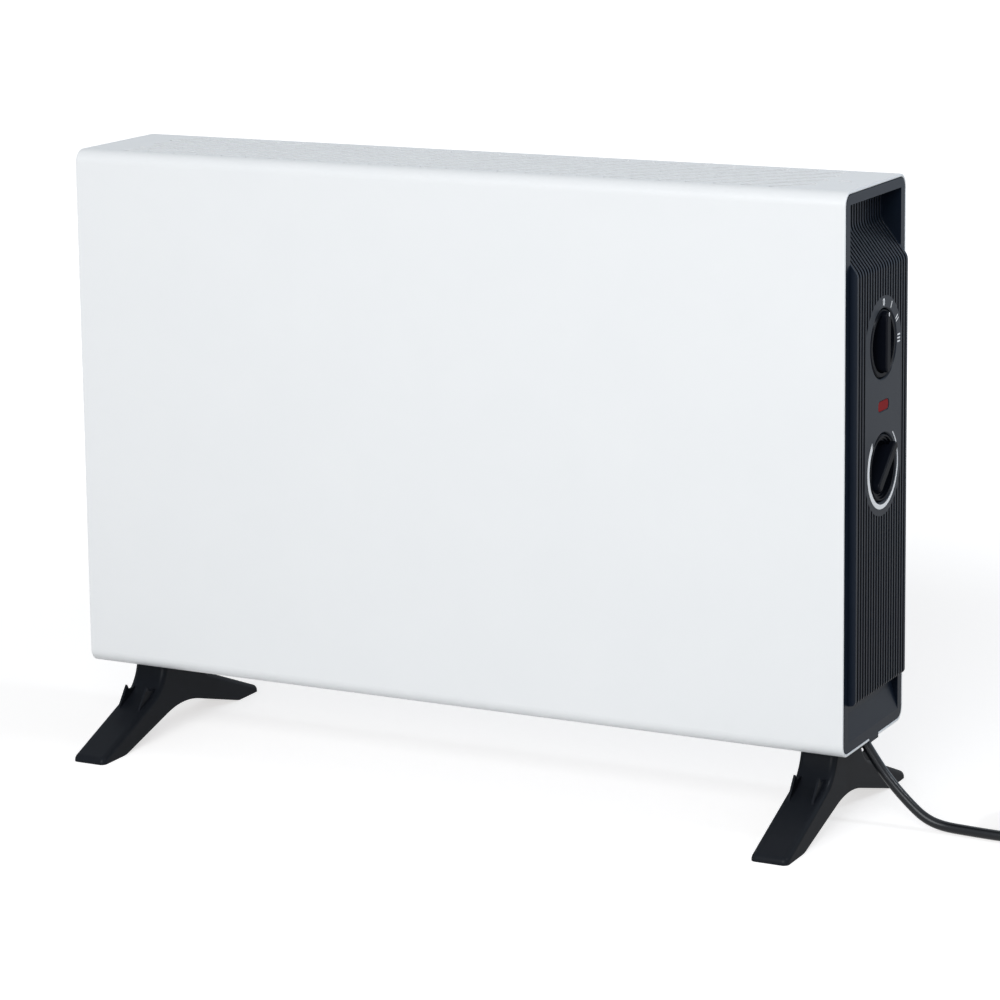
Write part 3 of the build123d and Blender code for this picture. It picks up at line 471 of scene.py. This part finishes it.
# %% Bare and plated metals
METALS = {
    "galvanised_steel": ((0.5, 0.52, 0.54), (0.62, 0.64, 0.66), 0.32),
    "bright_aluminium": ((0.75, 0.76, 0.77), (0.82, 0.83, 0.84), 0.2),
    "element_alloy": ((0.28, 0.26, 0.25), (0.38, 0.36, 0.35), 0.4),
    "zinc_screw": ((0.6, 0.61, 0.62), (0.7, 0.71, 0.72), 0.28),
    "steel_shaft": ((0.5, 0.51, 0.53), (0.58, 0.59, 0.61), 0.25),
    "nickel_pin": ((0.7, 0.69, 0.66), (0.78, 0.77, 0.73), 0.16),
}
STREAKS_PER_METRE = (1500.0, 1500.0, 40.0)
STREAK_DEPTH = 0.01 * MM
SPANGLE_SIZE = 7 * MM


def bare_metal(name, dark, light, rough):
    """Bare or plated metal with faint streaks."""
    finish = Finish(name)
    sockets = {"Vector": finish.place(), "Scale": STREAKS_PER_METRE}
    stretched = finish.node("ShaderNodeMapping", None, sockets)
    sockets = {"Vector": stretched, "Scale": 1.0}
    streaks = finish.node("ShaderNodeTexNoise", None, sockets, "Fac")
    spangle = finish.noise(SPANGLE_SIZE, detail=1.0)
    return finish.surface(
        Base_Color=finish.mix(spangle, dark, light),
        Metallic=1.0,
        Roughness=streaks * 0.15 + rough,
        Normal=finish.bump(streaks, STREAK_DEPTH, 0.5),
    )


for name, (dark, light, rough) in METALS.items():
    finishes[name] = bare_metal(name, dark, light, rough)
print(len(METALS), "metals")

# %% [markdown]
# The frame's record says which finish each piece has, so one loop dresses them all. The cap with the
# controls is the one exception: it has the version of the ribbed plastic that spares its plate.

# %% Dress the frame
for part in frame["record"]["subparts"]:
    node = nodes[part["node"]]
    node.data.materials.clear()
    node.data.materials.append(finishes[part["material_slot"]])
nodes["control_end_cap"].data.materials[0] = control_cap_finish
print(len(finishes) + 1, "finishes on", len(nodes), "nodes")

# %% [markdown]
# The markings on the controls are printed on with a stamp. They are drawn flat, given a hair of
# thickness and turned onto the plate. Seen from the controls' end the dials run clockwise, which is a
# negative turn about X, so all places on a dial are given as a radius and a clockwise angle from the
# top. The underside of each piece lies on the plate, with no air beneath it.

# %% Printing on the dials
DIAL_Y = 1.5 * MM
SELECTOR_Z = 335.0 * MM
THERMOSTAT_Z = 250.0 * MM
PLATE_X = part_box("control_end_cap")[1][0]
INK_THICK = 0.06 * MM
INK_PATCH = 0.7 * MM
INK_ROUGHNESS = 0.004 * MM
INK_DARK = (0.93, 0.93, 0.94)
INK_LIGHT = (0.97, 0.97, 0.97)


def ink():
    """White printing ink: matt and a little uneven."""
    finish = Finish("white_printing_ink")
    cover = finish.noise(INK_PATCH, detail=2.0)
    return finish.surface(
        Base_Color=finish.mix(cover, INK_DARK, INK_LIGHT),
        Roughness=cover * 0.1 + 0.4,
        Normal=finish.bump(cover, INK_ROUGHNESS),
    )


def polar(radius, clockwise):
    """A place on a dial that is drawn flat, with its top towards +Y."""
    angle = math.radians(clockwise)
    return (radius * math.sin(angle), radius * math.cos(angle), 0.0)


def on_dial(y, z, clockwise=0.0):
    """Turns a flat piece drawn in X and Y so that it faces +X on the plate."""
    face = Matrix(((0, 0, 1), (1, 0, 0), (0, 1, 0))).to_4x4()
    turn = Matrix.Rotation(-math.radians(clockwise), 4, "X")
    return Matrix.Translation((PLATE_X + INK_THICK / 2, y, z)) @ turn @ face


def printed(piece, place, name, body):
    """Makes a text or flat curve a mesh at its place, with the ink's finish."""
    bpy.ops.object.select_all(action="DESELECT")
    piece.select_set(True)
    bpy.context.view_layer.objects.active = piece
    piece.matrix_world = place
    bpy.ops.object.convert(target="MESH")
    bpy.ops.object.transform_apply(location=True, rotation=True, scale=True)
    piece = bpy.context.object
    piece.name = name
    piece.data.materials.clear()
    piece.data.materials.append(print_ink)
    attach(piece, body)
    return piece


print_ink = ink()
print("the plate's face is at x =", round(PLATE_X / MM, 2), "mm")

# %% [markdown]
# The upper knob selects how many heating cards are on, so the figures round it run from nought to
# three strokes. A text object knows how to draw them, so each figure is a text, made a mesh and turned
# so that its foot points at the knob. The letters are drawn a little bolder and wider apart than the
# typeface has them, as on the real dial.

# %% Figures round the selector
FIGURES = (
    ("figure_0", "0", 0.0),
    ("figure_1", "I", 30.0),
    ("figure_2", "II", 61.0),
    ("figure_3", "III", 91.0),
)
FIGURE_RADIUS = 28.0 * MM
FIGURE_SIZE = 6.6 * MM
FIGURE_BOLD = 0.2 * MM
FIGURE_SPACING = 1.22


def add_figure(name, figure, clockwise):
    """One figure of the scale, upright along its own radius."""
    bpy.ops.object.select_all(action="DESELECT")
    bpy.ops.object.text_add()
    piece = bpy.context.object
    piece.data.body = figure
    piece.data.size = FIGURE_SIZE
    piece.data.offset = FIGURE_BOLD
    piece.data.space_character = FIGURE_SPACING
    piece.data.extrude = INK_THICK / 2
    piece.data.align_x = "CENTER"
    piece.data.align_y = "CENTER"
    across, up, _ = polar(FIGURE_RADIUS, clockwise)
    place = on_dial(DIAL_Y + across, SELECTOR_Z + up, clockwise)
    return printed(piece, place, name, "heater")


for name, figure, clockwise in FIGURES:
    piece = add_figure(name, figure, clockwise)
    print(name, len(piece.data.polygons), "faces")

# %% [markdown]
# The lower knob has no figures but a white band that widens clockwise: more band, more heat. Its outer
# edge is an arc and its inner edge a spiral, so both are points worked out by angle on one flat curve,
# which Blender fills by itself. The inner edge lags a little behind, which slants the band's wide end.

# %% Band round the thermostat
BAND_START = 39.5
BAND_END = 316.0
BAND_SLANT = 7.0
BAND_RADIUS = 28.3 * MM
BAND_THIN = 0.9 * MM
BAND_GROWTH = 0.0144 * MM
BAND_WIDE = 3.7 * MM
BAND_STEPS = 96


def band_outline():
    """The band's outer edge, and back along its inner edge."""
    outer = []
    inner = []
    for step in range(BAND_STEPS + 1):
        share = step / BAND_STEPS
        angle = BAND_START + (BAND_END - BAND_START) * share
        width = min(BAND_THIN + BAND_GROWTH * (angle - BAND_START), BAND_WIDE)
        outer.append(polar(BAND_RADIUS, angle))
        inner.append(polar(BAND_RADIUS - width, angle - BAND_SLANT * share))
    return outer + inner[::-1]


def flat_outline(name, points):
    """A filled flat shape with a hair of thickness."""
    line = bpy.data.curves.new(name, "CURVE")
    line.dimensions = "2D"
    line.fill_mode = "BOTH"
    line.extrude = INK_THICK / 2
    spline = line.splines.new("POLY")
    spline.points.add(len(points) - 1)
    for point, place in zip(spline.points, points):
        point.co = (*place, 1)
    spline.use_cyclic_u = True
    piece = bpy.data.objects.new(name, line)
    scene.collection.objects.link(piece)
    return piece


band = flat_outline("heat_band", band_outline())
band = printed(band, on_dial(DIAL_Y, THERMOSTAT_Z), "heat_band", "heater")
print("band of", len(band.data.polygons), "faces")

# %% [markdown]
# In edit mode an operator acts on all that is selected, and a new primitive is selected all over. So
# everything is deselected first, and then a test on each vertex or edge picks what is to be shaped, by
# its place.


# %% Selecting in edit mode
def select_only(piece, mode, wanted):
    """Selects the vertices or edges that pass a test, and nothing else."""
    bpy.ops.mesh.select_all(action="DESELECT")
    bpy.ops.mesh.select_mode(type=mode)
    mesh = bmesh.from_edit_mesh(piece.data)
    for element in mesh.verts if mode == "VERT" else mesh.edges:
        element.select = wanted(element)
    mesh.select_flush(True)
    bmesh.update_edit_mesh(piece.data)


print("ready to select by place")

# %% [markdown]
# Each grip ends in a nose that reaches out over the rim of its knob and points at the scale. The nose
# is a short round post whose inner half is pushed towards the middle of the knob, and whose upper edge
# is rounded off. It is drawn flat, with its tip towards +Y, and then turned onto the knob, with a hair
# of air under it where it crosses the rim.

# %% Noses of the grips
NOSE_W = 7.2 * MM
NOSE_PROUD = 3.94 * MM
NOSE_GAP = 0.04 * MM
NOSE_REACH = 22.3 * MM
NOSE_INNER = 14.0 * MM
NOSE_ROUND = 1.15 * MM
NOSE_ROUND_STEPS = 5
NOSE_SIDES = 64
INNER_HALF = -0.1 * MM
SMOOTH_BELOW = 40
NOSES = (
    ("selector_nose", SELECTOR_Z, 0.0, "selector"),
    ("thermostat_nose", THERMOSTAT_Z, 50.0, "thermostat"),
)


def in_inner_half(vertex):
    return vertex.co.y < INNER_HALF


def on_upper_rim(edge):
    return all(vertex.co.z > 0 for vertex in edge.verts)


def add_nose(name, z, clockwise, body):
    """The pointing end of a grip."""
    middle = NOSE_REACH - NOSE_W / 2
    bpy.ops.object.select_all(action="DESELECT")
    bpy.ops.mesh.primitive_cylinder_add(
        vertices=NOSE_SIDES, radius=NOSE_W / 2, depth=NOSE_PROUD - NOSE_GAP
    )
    piece = bpy.context.object
    piece.name = name
    bpy.ops.object.mode_set(mode="EDIT")
    select_only(piece, "VERT", in_inner_half)
    bpy.ops.transform.translate(value=(0, NOSE_INNER - middle, 0))
    select_only(piece, "EDGE", on_upper_rim)
    bpy.ops.mesh.bevel(offset=NOSE_ROUND, segments=NOSE_ROUND_STEPS, profile=0.5)
    bpy.ops.object.mode_set(mode="OBJECT")
    lift = (NOSE_PROUD + NOSE_GAP - INK_THICK) / 2
    place = on_dial(DIAL_Y, z, clockwise)
    piece.matrix_world = place @ Matrix.Translation((0, middle, lift))
    bpy.ops.object.transform_apply(location=True, rotation=True, scale=True)
    bpy.ops.object.shade_smooth_by_angle(angle=math.radians(SMOOTH_BELOW))
    piece.data.materials.append(finishes["knob_plastic"])
    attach(piece, body)
    return piece


for name, z, clockwise, body in NOSES:
    piece = add_nose(name, z, clockwise, body)
    print(name, len(piece.data.polygons), "faces")

# %% [markdown]
# The selector's nose carries a short white line, so that its setting can be read from across a room.
# It is a bar with round ends, drawn as one outline and printed on the face of the grip.

# %% Pointer line on the selector
POINTER_L = 2.9 * MM
POINTER_W = 1.5 * MM
POINTER_RADIUS = 20.2 * MM
POINTER_CORNER = 30


def pointer_outline():
    """The line's round upper end, and then its round lower end."""
    half = POINTER_W / 2
    low, high = POINTER_RADIUS - POINTER_L / 2, POINTER_RADIUS + POINTER_L / 2
    angles = [math.radians(angle) for angle in range(0, 181, POINTER_CORNER)]
    ends = [(half * math.cos(angle), half * math.sin(angle)) for angle in angles]
    upper = [(x, high - half + y, 0.0) for x, y in ends]
    lower = [(-x, low + half - y, 0.0) for x, y in ends]
    return upper + lower


grip_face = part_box("selector_knob")[1][0]
pointer = flat_outline("selector_pointer", pointer_outline())
pointer_place = Matrix.Translation((grip_face - PLATE_X, 0, 0)) @ on_dial(DIAL_Y, SELECTOR_Z)
pointer = printed(pointer, pointer_place, "selector_pointer", "selector")
print("pointer of", len(pointer.data.polygons), "faces")

# %% [markdown]
# The mains cord is one smooth line with a round section. Its control points are given one by one where
# it lies free: down out of the cap, round onto the floor, and away to the coil in which the rest of it
# is stored. From the coil a last short stretch leads to the plug. The points are in millimetres from
# the middle of the casing.

# %% Route of the cord
CORD_D = 7.2 * MM
CASING_X = -2.0
CORD_ROUTE = [
    (294.6, 2.0, 54.6),
    (303.8, 2.0, 41.1),
    (313.2, 2.0, 29.9),
    (325.0, 2.0, 18.2),
    (336.8, 2.0, 8.4),
    (349.5, 2.0, 4.2),
    (368.0, 0.9, 3.9),
    (389.0, -0.8, 4.0),
    (411.0, -1.4, 4.3),
]
PLUG_ROUTE = [
    (469.2, 58.0, 18.9),
    (466.6, 74.5, 18.6),
    (462.4, 90.0, 18.6),
]
print(len(CORD_ROUTE), "points to the coil and", len(PLUG_ROUTE), "on to the plug")

# %% [markdown]
# A stored cord lies in turns, here two beside each other and three high. A loop walks round the coil
# and takes the radius and the height of each turn from a list. Where one turn gives way to the next,
# both change smoothly over part of the circle. The line runs a little inside its control points, so
# they stand further out by the factor `spread`.

# %% Turns of the coil
COIL_CENTRE = (428.0, 42.0)
COIL_OUTER = 41.6
COIL_INNER = 34.4
COIL_LAYERS = (4.5, 11.7, 18.9)
COIL_START = -82.0
COIL_STEP = 22.5
CHANGE_OVER = 60.0


def blend(first, second, share):
    return first + (second - first) * share


def coil_turns():
    """The control points of the coil, from where the cord enters it to where it leaves."""
    low, middle, high = COIL_LAYERS
    turns = [
        (COIL_OUTER, low),
        (COIL_INNER, low),
        (COIL_INNER, middle),
        (COIL_OUTER, middle),
        (COIL_OUTER, high),
    ]
    last_angle = 360.0 * len(turns) - COIL_START
    steps = round(last_angle / COIL_STEP)
    spread = 1 / math.cos(math.radians(COIL_STEP / 2))
    points = []
    for index in range(steps + 1):
        angle = last_angle * index / steps
        turn = min(int(angle // 360), len(turns) - 1)
        share = min((angle - 360 * turn) / CHANGE_OVER, 1.0)
        share = share * share * (3 - 2 * share)
        old_radius, old_height = turns[max(turn - 1, 0)]
        new_radius, new_height = turns[turn]
        radius = blend(old_radius, new_radius, share) * spread
        heading = math.radians(COIL_START + angle)
        points.append((
            COIL_CENTRE[0] + radius * math.cos(heading),
            COIL_CENTRE[1] + radius * math.sin(heading),
            blend(old_height, new_height, share),
        ))
    return points


coil = coil_turns()
print(len(coil), "points round the coil")

# %% [markdown]
# A curve through these points, with a round bevel, is the cord itself. It takes the place of the three
# plain solids that stand for the cord in the frame.

# %% Lay the cord
SMOOTH_ORDER = 3
STEPS_BETWEEN_POINTS = 6
SECTION_STEPS = 5


def lay_cord(points):
    """The cord as a curve of `points`, which are in millimetres from the middle of the casing."""
    line = bpy.data.curves.new("mains_cord", "CURVE")
    line.dimensions = "3D"
    spline = line.splines.new("NURBS")
    spline.points.add(len(points) - 1)
    for point, (x, y, z) in zip(spline.points, points):
        point.co = ((x + CASING_X) * MM, y * MM, z * MM, 1)
    spline.order_u = SMOOTH_ORDER
    spline.use_endpoint_u = True
    spline.resolution_u = STEPS_BETWEEN_POINTS
    line.bevel_depth = CORD_D / 2
    line.bevel_resolution = SECTION_STEPS
    line.materials.append(finishes["cord_sheath"])
    cord = bpy.data.objects.new("mains_cord", line)
    scene.collection.objects.link(cord)
    return cord


cord = lay_cord(CORD_ROUTE + coil + PLUG_ROUTE)
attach(cord, "heater")
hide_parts("power_cord", "cord_coil", "plug_lead")
print("cord of", len(cord.data.splines[0].points), "control points")

# %% [markdown]
# A product on white stands on a sheet of pale paper. The paper itself is a light grey that throws
# little light back at the heater. Its look is lifted to white only where the camera or a reflection
# sees it, which keeps the heater's shadow, and further off it runs out into plain white.

# %% Floor
FLOOR_SIZE = 30.0
PAPER_NEAR = 0.5
PAPER_FAR = 1.5
PAPER_GREY = (0.6, 0.6, 0.6)
LIFT_NEAR = (0.66, 0.65, 0.645)
LIFT_FAR = (0.99, 0.99, 0.99)


def studio_paper():
    """Pale paper that runs off into plain white a few paces from the heater."""
    finish = Finish("studio_paper")
    settings = {"operation": "LENGTH"}
    away = finish.node("ShaderNodeVectorMath", settings, {0: finish.place()}, "Value")
    far = away.clipped(PAPER_NEAR, PAPER_FAR)
    return finish.surface(
        Base_Color=PAPER_GREY,
        Roughness=0.9,
        Specular_IOR_Level=0.1,
        Emission_Color=finish.mix(far, LIFT_NEAR, LIFT_FAR),
        Emission_Strength=finish.seen(),
    )


def add_floor():
    """The sheet that the heater stands on."""
    bpy.ops.object.select_all(action="DESELECT")
    bpy.ops.mesh.primitive_plane_add(size=FLOOR_SIZE)
    floor = bpy.context.object
    floor.name = "studio_floor"
    floor.data.materials.append(studio_paper())
    return floor


floor = add_floor()
print("floor of", round(floor.dimensions.x, 1), "m")

# %% [markdown]
# White sheet metal wants large soft lamps. The big one stands at the front, a little above the heater,
# and lights the casing evenly. A small one high on the right shows the shape of the black end, and a
# dim bluish one behind it on the right gives the plastic its cool sheen. Each row of the table says
# where a lamp stands, where it looks, how wide and high it is, and its power and colour.

# %% Lamps
LAMPS = (
    ("front_softbox", (0.5, -3.2, 1.8), (0, 0, 0.25), (2.6, 2.0), 97, (0.985, 0.995, 1.0)),
    ("side_softbox", (2.6, 0.2, 2.3), (0.3, 0, 0.25), (0.45, 0.45), 17, (0.9, 0.95, 1.0)),
    ("rear_softbox", (1.9, 2.7, 0.9), (0.3, 0, 0.25), (2.2, 1.8), 9, (0.45, 0.7, 1.0)),
)


def add_lamp(name, place, target, size, watts, colour):
    """A rectangular soft lamp that looks at a point of the heater."""
    lamp = bpy.data.lights.new(name, "AREA")
    lamp.shape = "RECTANGLE"
    lamp.size, lamp.size_y = size
    lamp.energy = watts
    lamp.color = colour
    holder = bpy.data.objects.new(name, lamp)
    aim = Vector(target) - Vector(place)
    holder.location = place
    holder.rotation_euler = aim.to_track_quat("-Z", "Y").to_euler()
    scene.collection.objects.link(holder)


for row in LAMPS:
    add_lamp(*row)
print(len(LAMPS), "lamps")

# %% [markdown]
# The world fills the shadows with a little cool light, and is plain white where it is seen. Mixing both
# in one network, by the kind of ray, keeps the white backdrop from lighting the heater.

# %% World
WORLD_STRENGTH = 0.26
WORLD_TINT = (0.9, 0.95, 1.0)
WHITE = (1.0, 1.0, 1.0)


def light_world():
    """A weak cool light that looks white."""
    world = bpy.data.worlds.new("studio_world")
    scene.world = world
    sky = Network(world, "ShaderNodeOutputWorld")
    sockets = {
        "Color": sky.mix(sky.ray("Is Camera Ray"), WORLD_TINT, WHITE),
        "Strength": sky.seen() * (1 - WORLD_STRENGTH) + WORLD_STRENGTH,
    }
    sky.join(sky.node("ShaderNodeBackground", None, sockets))


light_world()
scene.view_settings.view_transform = "Standard"
print("world of strength", WORLD_STRENGTH)
